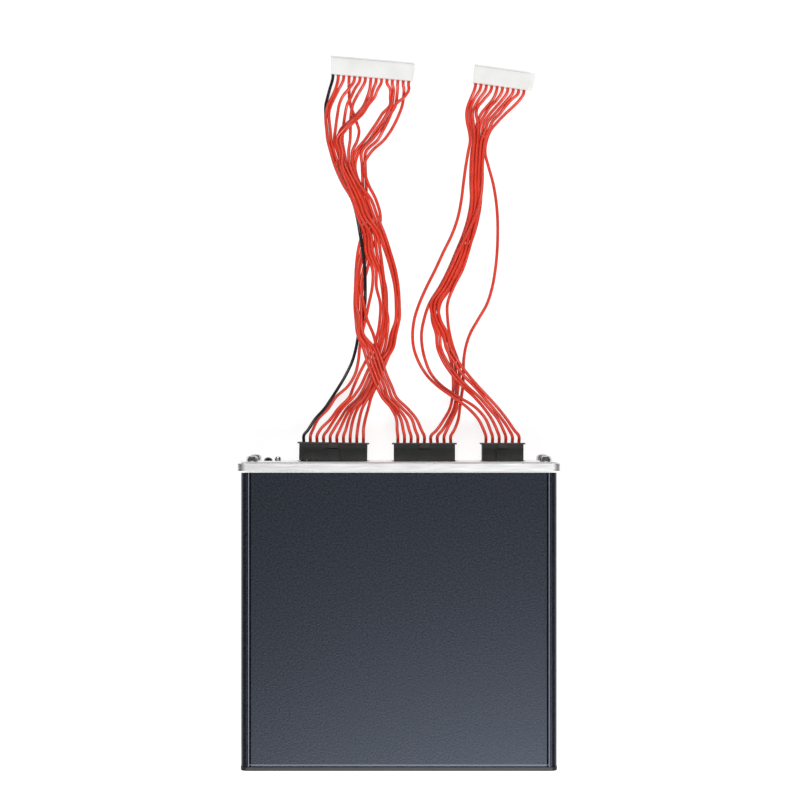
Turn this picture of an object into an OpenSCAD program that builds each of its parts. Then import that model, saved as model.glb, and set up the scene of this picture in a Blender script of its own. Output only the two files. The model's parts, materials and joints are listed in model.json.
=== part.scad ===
// Enclosed battery management board with its cell-sense harness.
// Frame: origin at the centre of the sleeve's underside, X across the sleeve,
// Y along it towards the plugs, Z up from the table. All sizes in millimetres.

/* [Sleeve] */
// Width of the extruded sleeve
sleeve_w = 141; // [134:1:170]
// Thickness of the sleeve
sleeve_h = 30; // [29:0.5:40]
// Length of the sleeve
sleeve_len = 131; // [120:1:180]
// Wall of the sleeve
sleeve_wall = 2.2; // [1.6:0.1:3]
// Radius of the sleeve's four long edges
sleeve_edge_r = 3; // [1:0.1:3]
// Distance from the sleeve's side to the narrow groove
fine_groove_in = 3.2; // [3.15:0.05:3.3]
// Width of the narrow groove
fine_groove_w = 0.3; // [0.2:0.05:0.4]
// Distance from the sleeve's side to the broad groove
broad_groove_in = 4.2; // [4:0.1:6]
// Width of the broad groove
broad_groove_w = 0.9; // [0.5:0.1:1.5]
// Depth of both grooves
groove_depth = 0.7; // [0.3:0.1:1]
// Width of the raised land inside that takes the heat
heat_land_w = 120; // [80:1:122]
// Height of the raised land above the sleeve's floor
heat_land_h = 3.6; // [2:0.1:4]

/* [End plates] */
// Thickness of the silver front plate
front_t = 4.75; // [3:0.25:8]
// Overhang of the front plate past each side of the sleeve
front_side = 2.3; // [0:0.1:5]
// Overhang of the front plate above the sleeve
front_top = 2; // [0:0.1:5]
// Corner radius of the front plate
front_r = 4.2; // [2:0.1:6]
// Chamfer along the edges of the front plate
front_chamfer = 0.7; // [0.2:0.1:1.2]
// Thickness of the rear plate
rear_t = 2; // [1.8:0.1:4]
// Overhang of the rear plate past each side of the sleeve
rear_side = 0.2; // [0:0.1:2]
// Corner radius of the rear plate
rear_r = 3; // [1:0.1:5]
// Chamfer along the edges of the rear plate
rear_chamfer = 0.3; // [0.1:0.1:0.6]

/* [Screws] */
// Distance from the sleeve's side to the screws
screw_in = 4.7; // [4.5:0.1:6]
// Distance from the sleeve's top and underside to the screws
screw_up = 5.2; // [4.8:0.1:7]
// Outer radius of the screw channels in the sleeve
channel_r = 3.1; // [2.6:0.1:3.5]
// Radius of a screw's shank
shank_r = 1.45; // [1.2:0.05:1.7]
// Length of a front screw's shank
front_shank = 14; // [8:1:25]
// Length of a rear screw
rear_screw_len = 10; // [6:1:20]
// Radius of a pan head
pan_r = 2.75; // [2.3:0.05:3]
// Height of a pan head
pan_h = 2.6; // [1.6:0.1:3]
// Radius of a countersunk head
sunk_r = 2.8; // [2.2:0.1:3]

/* [Circuit board] */
// Height of the board's underside above the table
board_up = 9.6; // [9:0.1:11]
// Thickness of the board
board_t = 1.6; // [0.8:0.1:2.4]
// Gap between each edge of the board and the sleeve's inner wall
board_side_gap = 0.8; // [0.3:0.1:1.5]
// Gap between the board and each end plate
board_end_gap = 1.2; // [0.5:0.1:4]
// How far the guide rails stand out of the inner wall
rail_out = 2.4; // [1.8:0.1:4]
// Thickness of a guide rail
rail_t = 1.2; // [0.8:0.1:1.3]
// Clearance between the board and the upper guide rail
rail_gap = 0.1; // [0.05:0.05:0.15]

/* [Black plugs] */
// Spacing of the ways of the black plugs
black_pitch = 3; // [2.9:0.05:3.3]
// Length of a black plug's body outside the header
black_body_len = 8.1; // [7:0.1:12]
// Height of a black plug's body
black_body_h = 7; // [6.4:0.1:8]
// Body on each side of the outermost ways' centres
black_margin = 1.85; // [1.6:0.05:2.4]
// Thickness of the flange at the wire side
flange_t = 0.6; // [0.4:0.1:1.2]
// How far the flange stands out of the body
flange_out = 0.8; // [0.3:0.1:1.2]
// Length of the silos that enter the header
silo_len = 7; // [5:0.1:9]
// Width of one silo
silo_w = 2.5; // [2.3:0.05:2.7]
// Height of one silo
silo_h = 5; // [3.4:0.1:5.4]
// Width of the latch
latch_w = 5.8; // [4:0.1:7]
// Thickness of the latch
latch_t = 1.1; // [0.6:0.1:1.6]
// Tilt of the left plug, which isn't pushed home at its outer end
left_tilt = 0.9; // [0:0.1:1]

/* [Headers] */
// Depth of a header behind the face of the front plate
header_depth = 10.6; // [9.8:0.1:14]
// Height of a header
header_h = 8.8; // [8.2:0.1:9.6]
// Wall of a header's ends
header_wall = 0.9; // [0.7:0.1:1.4]
// Clearance between a silo and its header
silo_gap = 0.25; // [0.2:0.05:0.4]
// Clearance between a header and the front plate
header_gap = 0.3; // [0.1:0.05:0.6]
// Thickness of a header pin
pin_t = 0.64; // [0.5:0.02:0.7]

/* [White plugs] */
// Spacing of the ways of the white plugs
white_pitch = 2.5; // [2.4:0.05:2.8]
// Length of a white plug in its mating direction
white_len = 8.3; // [7:0.1:12]
// Height of a white plug
white_h = 5.7; // [5:0.1:7]
// Body on each side of the outermost ways' centres, at the wire side
white_margin = 1.1; // [1:0.05:1.6]
// Extra width at the mating side, to the left
white_flare_left = 0.6; // [0.2:0.1:1]
// Extra width at the mating side, to the right
white_flare_right = 1.4; // [0.5:0.1:2]
// Width of the guide wing at the right end of the right plug
guide_wing = 1.9; // [0:0.1:3]
// Thickness of the guide wings
wing_t = 3.4; // [2:0.1:4]
// Length of the step along the mating edge
mating_step = 0.9; // [0.4:0.1:2]
// Depth of the step along the mating edge
mating_step_t = 0.35; // [0.1:0.05:0.6]

/* [Wires] */
// Diameter of a sense wire over its insulation
wire_d = 1.45; // [1.3:0.05:1.6]
// Clearance around a wire in its plug
wire_gap = 0.1; // [0.05:0.05:0.15]

/* [Hidden] */
$fn = 48;
fit_gap = 0.05;
overcut = 1;

// Sleeve and plates
inner_w = sleeve_w - 2 * sleeve_wall;
inner_h = sleeve_h - 2 * sleeve_wall;
front_face_y = sleeve_len / 2 + front_t;
rear_face_y = -sleeve_len / 2 - rear_t;
front_w = sleeve_w + 2 * front_side;
front_h = sleeve_h + front_top;
rear_w = sleeve_w + 2 * rear_side;
screw_x = sleeve_w / 2 - screw_in;
screw_zs = [screw_up, sleeve_h - screw_up];
screw_hole_r = shank_r + 0.2;
sunk_h = sunk_r - shank_r;

// Circuit board
board_top = board_up + board_t;
board_w = inner_w - 2 * board_side_gap;
board_y0 = -sleeve_len / 2 + board_end_gap;
board_y1 = sleeve_len / 2 - board_end_gap;

// Plugs and headers: 0 left, 1 middle, 2 right
black_ways = [10, 9, 6];
black_first = [0, 10, 19];
black_x = [-29.8, 11.5, 46.9];
black_tilts = [-left_tilt, 0, 0];
pin_z = board_top + header_h / 2;
wire_r = wire_d / 2;
wire_hole_r = wire_r + wire_gap;
wire_in = 4;
contact_w = 1.6;
cavity_w = contact_w + 2 * wire_gap;
contact_nose = 0.8;
contact_len = black_body_len + silo_len - wire_in - contact_nose;
contact_hole = pin_t + 0.3;
pin_reach = silo_len - 2;
pin_foot_in = 3.2;
pin_tail = 1;
pin_hole_r = pin_t * sqrt(2) / 2 + 0.1;
pin_back = header_depth + pin_foot_in;
latch_short = 2.9; // the latch's rib ends this far from the wire side
press_in = 0.6; // a narrower pad to press lies beyond the rib
press_len = 1.9;
press_w = latch_w - 1.6;

// White plugs: 0 left with the black wire, 1 right
white_ways = [15, 10];
white_first = [0, 15];
white_at = [[-12.9, 246.1], [46.5, 242]];
white_turns = [-4.9, -8];
white_wire_in = 2.4;
white_row_z = white_h / 2;
white_contact_len = white_len - white_wire_in - 1;
body_flare = 0.35; // the body's share of the flare, and the wing's at its wire side
wing_flare = 0.5;
wing_root = 1;
wing_step = 0.2;

// Parts on the board
led_in = 8.1; // from the board's edge
led_x = -board_w / 2 + led_in;
led_z = board_top + 2.2;
led_size = [3, 2, 3.4];
pipe_r = 1.7;
lens_r = 2;
lens_h = 1.6;
ground_gap = 4.4; // from the lamp
ground_x = led_x + ground_gap;
ground_r = 1.45;
ground_shank_r = 0.9;
ground_h = 1.9;
channel_x = screw_x - channel_r;
heat_top = sleeve_wall + heat_land_h;
transistor_h = 2.3;
balance_cols = 12;
balance_in = 11;
balance_pitch = 2 * (channel_x - balance_in) / (balance_cols - 1);
transistor_size = [6.6, 9.6, transistor_h];
transistor_rows = [-42, -30];
resistor_size = [6.4, 3.2, 0.7];
resistor_rows = [-44, -38];
pad_margin = 1.2;
pad_t = board_up - transistor_h - heat_top;
pad_w = 2 * (channel_x - balance_in) + transistor_size[0] + 2 * pad_margin;
pad_len = transistor_rows[1] - transistor_rows[0] + transistor_size[1] + 2 * pad_margin;
sheet_in = 4.7;
sheet_y = 20;
sheet_len = 78;
sheet_t = 0.3;
capacitor_r = 5;
capacitor_h = 10;
capacitor_base_t = 0.8;
capacitor_base_w = 2 * capacitor_r + 0.3;
capacitor_in = 9.5;
capacitor_pitch = 12;
capacitor_y = -16;
inductor_at = [18, -6];
inductor_size = [12, 12, 7];
inductor_corner = 2.4;
crystal_at = [-26, 6];
crystal_r = 2.3;
crystal_half = 3.3;
crystal_h = 3.6;
chip_lift = 0.1;
leg_w = 0.24;
leg_len = 1;
leg_t = 0.3;
controller_at = [-8, 6];
controller_size = [10, 10, 1.4];
controller_legs = [12, 0.8];
monitor_x = [-34, 24];
monitor_y = 28;
monitor_size = [12.5, 6.1, 1.1];
monitor_legs = [12, 1];
isolator_at = [-46, -8];
isolator_size = [10.3, 7.5, 2.3];
isolator_legs = [8, 1.27];

function wire_name(k) = str("sense_wire_", k < 9 ? "0" : "", k + 1);

// ---- Places of the plugs ----

// A point of black plug j in its own frame: x across, y out of the plug from its wire side.
function black_lift(j) = black_width(j) / 2 * sin(abs(black_tilts[j]));
function black_width(j) = (black_ways[j] - 1) * black_pitch + 2 * black_margin;
function black_pivot_y(j) = front_face_y - silo_len / 2 + black_lift(j);
function black_point(j, x, y) =
    let (a = black_tilts[j], v = y + black_body_len + silo_len / 2)
    [black_x[j] + x * cos(a) - v * sin(a), black_pivot_y(j) + x * sin(a) + v * cos(a), pin_z];

// A point of white plug j in its own frame: x across, y towards its mating side.
function white_point(j, x, y) =
    let (a = white_turns[j])
    [white_at[j][0] + x * cos(a) - y * sin(a), white_at[j][1] + x * sin(a) + y * cos(a), white_row_z];

function way_x(ways, pitch, i) = (i - (ways - 1) / 2) * pitch;

// ---- Shapes used by several pieces ----

module round_rect(w, h, r) {
    translate([0, r]) square([w, h - 2 * r]);
    translate([r, 0]) square([w - 2 * r, h]);
    for (x = [r, w - r])
        for (y = [r, h - r])
            translate([x, y]) circle(r = r);
}

// A plate with round corners and chamfered edges: w along X, h along Y, t along Z.
module chamfered_plate(w, h, t, r, c) {
    for (x = [-1, 1])
        for (y = [-1, 1])
            translate([x * (w / 2 - r), y * (h / 2 - r), 0])
                rotate_extrude()
                    polygon([[0, 0], [r - c, 0], [r, c], [r, t - c], [r - c, t], [0, t]]);
    rotate([90, 0, 90])
        translate([0, 0, -(w / 2 - r)])
            linear_extrude(w - 2 * r) chamfered_side(h, t, c);
    rotate([90, 0, 0])
        translate([0, 0, -(h / 2 - r)])
            linear_extrude(h - 2 * r) chamfered_side(w, t, c);
}

module chamfered_side(w, t, c) {
    polygon([
        [-w / 2 + c, 0], [w / 2 - c, 0], [w / 2, c], [w / 2, t - c],
        [w / 2 - c, t], [-w / 2 + c, t], [-w / 2, t - c], [-w / 2, c]]);
}

module block(size) {
    translate([-size[0] / 2, -size[1] / 2, 0]) cube(size);
}

// Screws are drawn with the shank along -Z from the origin.
module cross_recess(depth, span) {
    for (a = [0, 90])
        rotate(a)
            translate([-span / 2, -0.3, -depth]) cube([span, 0.6, depth + overcut]);
}

module pan_screw(head_r, head_h, shank, length) {
    difference() {
        union() {
            rotate_extrude()
                polygon([
                    [0, 0], [head_r, 0], [head_r, head_h * 0.55],
                    [head_r * 0.82, head_h * 0.88], [head_r * 0.5, head_h], [0, head_h]]);
            translate([0, 0, -length]) cylinder(r = shank, h = length + fit_gap);
        }
        translate([0, 0, head_h]) cross_recess(head_h * 0.5, head_r);
    }
}

module sunk_screw(head_r, head_h, shank, length) {
    difference() {
        union() {
            translate([0, 0, -head_h]) cylinder(r1 = shank, r2 = head_r, h = head_h);
            translate([0, 0, -length]) cylinder(r = shank, h = length - head_h + fit_gap);
        }
        cross_recess(head_h * 0.7, head_r * 0.9);
    }
}

// ---- Sleeve and end plates ----

module sleeve_inside() {
    difference() {
        translate([-inner_w / 2, sleeve_wall]) square([inner_w, inner_h]);
        for (sx = [-1, 1]) {
            for (z = screw_zs)
                translate([sx * screw_x, z]) circle(r = channel_r);
            for (z = [board_up - rail_t, board_top + rail_gap])
                translate([sx > 0 ? inner_w / 2 - rail_out : -inner_w / 2, z]) square([rail_out, rail_t]);
        }
        translate([-heat_land_w / 2, 0]) square([heat_land_w, sleeve_wall + heat_land_h]);
    }
}

module groove(w) {
    polygon([[-w / 2, overcut], [-w / 2, 0], [0, -groove_depth], [w / 2, 0], [w / 2, overcut]]);
}

module sleeve_grooves() {
    for (sx = [-1, 1])
        for (cut = [[fine_groove_in, fine_groove_w], [broad_groove_in, broad_groove_w]])
            translate([sx * (sleeve_w / 2 - cut[0]), 0]) {
                translate([0, sleeve_h]) groove(cut[1]);
                rotate(180) groove(cut[1]);
            }
}

module housing_sleeve() {
    color("#2b2e36")
        translate([0, sleeve_len / 2, 0])
            rotate([90, 0, 0])
                linear_extrude(sleeve_len)
                    difference() {
                        translate([-sleeve_w / 2, 0]) round_rect(sleeve_w, sleeve_h, sleeve_edge_r);
                        sleeve_inside();
                        for (sx = [-1, 1])
                            for (z = screw_zs)
                                translate([sx * screw_x, z]) circle(r = shank_r + fit_gap);
                        sleeve_grooves();
                    }
}

function header_w(ways) = (ways - 1) * black_pitch + silo_w + 2 * silo_gap + 2 * header_wall;

module front_plate() {
    color("#d9dcdc")
        difference() {
            translate([0, front_face_y, front_h / 2])
                rotate([90, 0, 0]) chamfered_plate(front_w, front_h, front_t, front_r, front_chamfer);
            for (sx = [-1, 1])
                for (z = screw_zs)
                    translate([sx * screw_x, front_face_y + overcut, z])
                        rotate([90, 0, 0]) cylinder(r = screw_hole_r, h = front_t + 2 * overcut);
            for (j = [0:2])
                translate([
                    black_x[j] - header_w(black_ways[j]) / 2 - header_gap,
                    front_face_y - front_t - overcut,
                    board_top - header_gap])
                    cube([
                        header_w(black_ways[j]) + 2 * header_gap,
                        front_t + 2 * overcut,
                        header_h + 2 * header_gap]);
            translate([led_x, front_face_y + overcut, led_z])
                rotate([90, 0, 0]) cylinder(r = pipe_r + fit_gap, h = front_t + 2 * overcut);
            translate([ground_x, front_face_y + overcut, led_z])
                rotate([90, 0, 0]) cylinder(r = ground_shank_r + fit_gap, h = front_t + 2 * overcut);
        }
}

module rear_plate() {
    color("#26282c")
        difference() {
            translate([0, -sleeve_len / 2, sleeve_h / 2])
                rotate([90, 0, 0]) chamfered_plate(rear_w, sleeve_h, rear_t, rear_r, rear_chamfer);
            for (sx = [-1, 1])
                for (z = screw_zs)
                    translate([sx * screw_x, rear_face_y, z])
                        rotate([-90, 0, 0]) {
                            translate([0, 0, -overcut])
                                cylinder(r = shank_r + fit_gap, h = rear_t + 2 * overcut);
                            cylinder(r1 = sunk_r + fit_gap, r2 = shank_r + fit_gap, h = sunk_h);
                        }
        }
}

module front_screws() {
    color("#b9bcc0")
        for (sx = [-1, 1])
            for (z = screw_zs)
                translate([sx * screw_x, front_face_y, z])
                    rotate([-90, 0, 0]) pan_screw(pan_r, pan_h, shank_r, front_shank);
}

module rear_screws() {
    color("#3a3c40")
        for (sx = [-1, 1])
            for (z = screw_zs)
                translate([sx * screw_x, rear_face_y, z])
                    rotate([90, 0, 0]) sunk_screw(sunk_r, sunk_h, shank_r, rear_screw_len);
}

// ---- Circuit board and headers ----

module header_pin_feet(radius, z, h) {
    for (j = [0:2])
        for (i = [0:black_ways[j] - 1])
            translate([
                black_x[j] + way_x(black_ways[j], black_pitch, i),
                front_face_y - pin_back + pin_t / 2, z])
                cylinder(r = radius, h = h);
}

module circuit_board() {
    color("#1f5a38")
        difference() {
            translate([-board_w / 2, board_y0, board_up]) cube([board_w, board_y1 - board_y0, board_t]);
            header_pin_feet(pin_hole_r, board_up - overcut, board_t + 2 * overcut);
        }
}

module header(j) {
    w = header_w(black_ways[j]);
    color("#1d1d1f")
        translate([black_x[j], front_face_y, pin_z])
            difference() {
                translate([-w / 2, -header_depth, -header_h / 2]) cube([w, header_depth, header_h]);
                translate([
                    -w / 2 + header_wall,
                    -silo_len - silo_gap,
                    -silo_h / 2 - silo_gap])
                    cube([
                        w - 2 * header_wall,
                        silo_len + silo_gap + overcut,
                        silo_h + 2 * silo_gap]);
                for (i = [0:black_ways[j] - 1])
                    translate([way_x(black_ways[j], black_pitch, i), 0, 0])
                        translate([-pin_t / 2, -header_depth - overcut, -pin_t / 2])
                            cube([pin_t, header_depth, pin_t]);
            }
}

module header_left() { header(0); }
module header_middle() { header(1); }
module header_right() { header(2); }

module header_pin() {
    translate([-pin_t / 2, -pin_back, -pin_t / 2]) cube([pin_t, pin_back - silo_len + pin_reach, pin_t]);
    translate([-pin_t / 2, -pin_back, board_up - pin_tail - pin_z])
        cube([pin_t, pin_t, pin_z - board_up + pin_tail + pin_t / 2]);
}

module header_pins() {
    color("#c9b37a")
        for (j = [0:2])
            for (i = [0:black_ways[j] - 1])
                translate([black_x[j] + way_x(black_ways[j], black_pitch, i), front_face_y, pin_z])
                    header_pin();
}

// ---- Black plugs ----

module place_black(j) {
    at = black_point(j, 0, 0);
    translate(at) rotate(black_tilts[j]) children();
}

// The plug in its own frame: wire side at y = 0, silos at the far end along -Y.
module black_plug(j) {
    ways = black_ways[j];
    w = black_width(j);
    top = black_body_h / 2;
    color("#232325")
        place_black(j)
            difference() {
                union() {
                    translate([-w / 2, -black_body_len, -top]) cube([w, black_body_len, black_body_h]);
                    translate([-w / 2 - flange_out, -flange_t, -top - flange_out])
                        cube([w + 2 * flange_out, flange_t, black_body_h + 2 * flange_out]);
                    translate([-latch_w / 2, -black_body_len, top])
                        cube([latch_w, black_body_len - latch_short, latch_t]);
                    translate([-press_w / 2, -press_in - press_len, top])
                        cube([press_w, press_len, latch_t]);
                    for (i = [0:ways - 1])
                        translate([way_x(ways, black_pitch, i), -black_body_len - silo_len, -silo_h / 2])
                            translate([-silo_w / 2, 0, 0]) cube([silo_w, silo_len + overcut, silo_h]);
                }
                for (i = [0:ways - 1])
                    translate([way_x(ways, black_pitch, i), 0, 0]) {
                        rotate([90, 0, 0])
                            translate([0, 0, -overcut]) cylinder(r = wire_hole_r, h = wire_in + overcut);
                        translate([-cavity_w / 2, -black_body_len - silo_len - overcut, -cavity_w / 2])
                            cube([cavity_w, black_body_len + silo_len - wire_in + overcut, cavity_w]);
                    }
            }
}

module black_plug_left() { black_plug(0); }
module black_plug_middle() { black_plug(1); }
module black_plug_right() { black_plug(2); }

// A crimp contact: its rear end meets the wire, and a pin enters its far end.
module contact(length, width, hole) {
    translate([0, -length, 0])
        difference() {
            translate([-width / 2, 0, -width / 2]) cube([width, length, width]);
            translate([-hole / 2, -overcut, -hole / 2]) cube([hole, length - 1 + overcut, hole]);
        }
}

module black_plug_contacts() {
    color("#c8c3b4")
        for (j = [0:2])
            place_black(j)
                for (i = [0:black_ways[j] - 1])
                    translate([way_x(black_ways[j], black_pitch, i), -wire_in, 0])
                        contact(contact_len, contact_w, contact_hole);
}

// ---- White plugs ----

module place_white(j) {
    translate([white_at[j][0], white_at[j][1], 0]) rotate(white_turns[j]) children();
}

// The plug in its own frame: wire side at y = 0, mating side at y = white_len, underside at z = 0.
module white_plug(j) {
    ways = white_ways[j];
    half = (ways - 1) * white_pitch / 2 + white_margin;
    wing = half + (j == 1 ? guide_wing : 0);
    color("#eceae4")
        place_white(j)
            difference() {
                union() {
                    linear_extrude(white_h)
                        polygon([
                            [-half, 0], [half, 0],
                            [half + body_flare * white_flare_right, white_len],
                            [-half - white_flare_left, white_len]]);
                    linear_extrude(wing_t)
                        polygon([
                            [half - wing_root, wing_step], [wing + wing_flare * white_flare_right, wing_step],
                            [wing + white_flare_right, white_len], [half - wing_root, white_len]]);
                }
                translate([-half - 2 * overcut, white_len - mating_step, white_h - mating_step_t])
                    cube([2 * half + 4 * overcut, mating_step + overcut, mating_step_t + overcut]);
                for (i = [0:ways - 1])
                    translate([way_x(ways, white_pitch, i), 0, white_row_z]) {
                        rotate([-90, 0, 0])
                            translate([0, 0, -overcut])
                                cylinder(r = wire_hole_r, h = white_wire_in + overcut);
                        translate([-cavity_w / 2, white_wire_in, -cavity_w / 2])
                            cube([cavity_w, white_len, cavity_w]);
                    }
            }
}

module white_plug_left() { white_plug(0); }
module white_plug_right() { white_plug(1); }

module white_plug_contacts() {
    color("#c8c3b4")
        for (j = [0:1])
            place_white(j)
                for (i = [0:white_ways[j] - 1])
                    translate([way_x(white_ways[j], white_pitch, i), white_wire_in, white_row_z])
                        rotate(180) contact(white_contact_len, contact_w, contact_hole);
}

// ---- Parts on the board ----

// legs is the number of legs on a side and their spacing
module chip(size, legs, four_sides) {
    translate([0, 0, chip_lift]) block(size);
    for (i = [0:legs[0] - 1]) {
        at = way_x(legs[0], legs[1], i);
        for (s = [-1, 1]) {
            translate([at, s * (size[1] + leg_len) / 2 - s * fit_gap, 0])
                block([leg_w, leg_len, chip_lift + leg_t]);
            if (four_sides)
                translate([s * (size[0] + leg_len) / 2 - s * fit_gap, at, 0])
                    block([leg_len, leg_w, chip_lift + leg_t]);
        }
    }
}

module microcontroller() {
    color("#202124")
        translate([controller_at[0], controller_at[1], board_top])
            chip(controller_size, controller_legs, true);
}

module monitor_chips() {
    color("#202124")
        for (x = monitor_x)
            translate([x, monitor_y, board_top]) chip(monitor_size, monitor_legs, false);
}

module isolator_chip() {
    color("#202124")
        translate([isolator_at[0], isolator_at[1], board_top])
            chip(isolator_size, isolator_legs, false);
}

module crystal() {
    color("#c6c8ca")
        translate([crystal_at[0], crystal_at[1], board_top]) {
            for (x = [-crystal_half, crystal_half])
                translate([x, 0, 0]) cylinder(r = crystal_r, h = crystal_h);
            block([2 * crystal_half, 2 * crystal_r, crystal_h]);
        }
}

module supply_inductor() {
    color("#55565a")
        translate([inductor_at[0], inductor_at[1], board_top])
            difference() {
                block(inductor_size);
                for (x = [-0.5, 0.5])
                    for (y = [-0.5, 0.5])
                        translate([x * inductor_size[0], y * inductor_size[1], -overcut])
                            rotate(45)
                                block([
                                    inductor_corner, inductor_corner,
                                    inductor_size[2] + 2 * overcut]);
            }
}

module filter_capacitors() {
    color("#30343c")
        for (i = [0:2])
            translate([board_w / 2 - capacitor_in - i * capacitor_pitch, capacitor_y, board_top]) {
                block([capacitor_base_w, capacitor_base_w, capacitor_base_t]);
                translate([0, 0, capacitor_base_t])
                    cylinder(r = capacitor_r, h = capacitor_h - capacitor_base_t);
            }
}

module balance_transistors() {
    color("#242528")
        for (y = transistor_rows)
            for (i = [0:balance_cols - 1])
                translate([way_x(balance_cols, balance_pitch, i), y, board_up - transistor_h])
                    block(transistor_size);
}

module balance_resistors() {
    color("#2c2c2e")
        for (y = resistor_rows)
            for (i = [0:balance_cols - 1])
                translate([way_x(balance_cols, balance_pitch, i), y, board_top])
                    block(resistor_size);
}

module thermal_pad() {
    color("#9aa7b5")
        translate([0, (transistor_rows[0] + transistor_rows[1]) / 2, heat_top])
            block([pad_w, pad_len, pad_t]);
}

module insulating_sheet() {
    color("#e4dcc0")
        translate([0, sheet_y, heat_top]) block([2 * (channel_x - sheet_in), sheet_len, sheet_t]);
}

module status_led() {
    color("#e8e2c8")
        translate([led_x, board_y1 - led_size[1] / 2, board_top]) block(led_size);
}

module light_pipe() {
    color("#3a3d40")
        translate([led_x, board_y1, led_z])
            rotate([-90, 0, 0]) {
                cylinder(r = pipe_r, h = front_face_y - board_y1 + fit_gap);
                translate([0, 0, front_face_y - board_y1])
                    rotate_extrude()
                        polygon(concat(
                            [[0, 0]],
                            [for (a = [0:15:90]) [lens_r * cos(a), lens_h * sin(a)]]));
            }
}

module ground_screw() {
    color("#b9bcc0")
        translate([ground_x, front_face_y, led_z])
            rotate([-90, 0, 0]) pan_screw(ground_r, ground_h, ground_shank_r, front_t);
}

// ---- Sense wires ----

// The routes are lists of [x, z] points, one at each of these distances y from the origin.
left_y = [
    84, 89, 94, 99, 104, 110, 116, 122, 128, 135, 142, 150, 158, 166,
    174, 182, 190, 198, 206, 212, 218, 222, 226, 230, 234, 237.5, 241];
right_y = [
    84, 89, 94, 99, 104, 110, 116, 122, 128, 135, 142, 150, 158, 166,
    174, 182, 190, 198, 206, 212, 218, 222, 226, 230, 233, 236];

// The way of the white plugs that each wire ends in
white_way = [
    0, 1, 2, 8, 4, 9, 7, 5, 6, 3, 10, 11, 12, 13, 14,
    20, 21, 22, 24, 15, 16, 19, 23, 17, 18];

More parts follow.
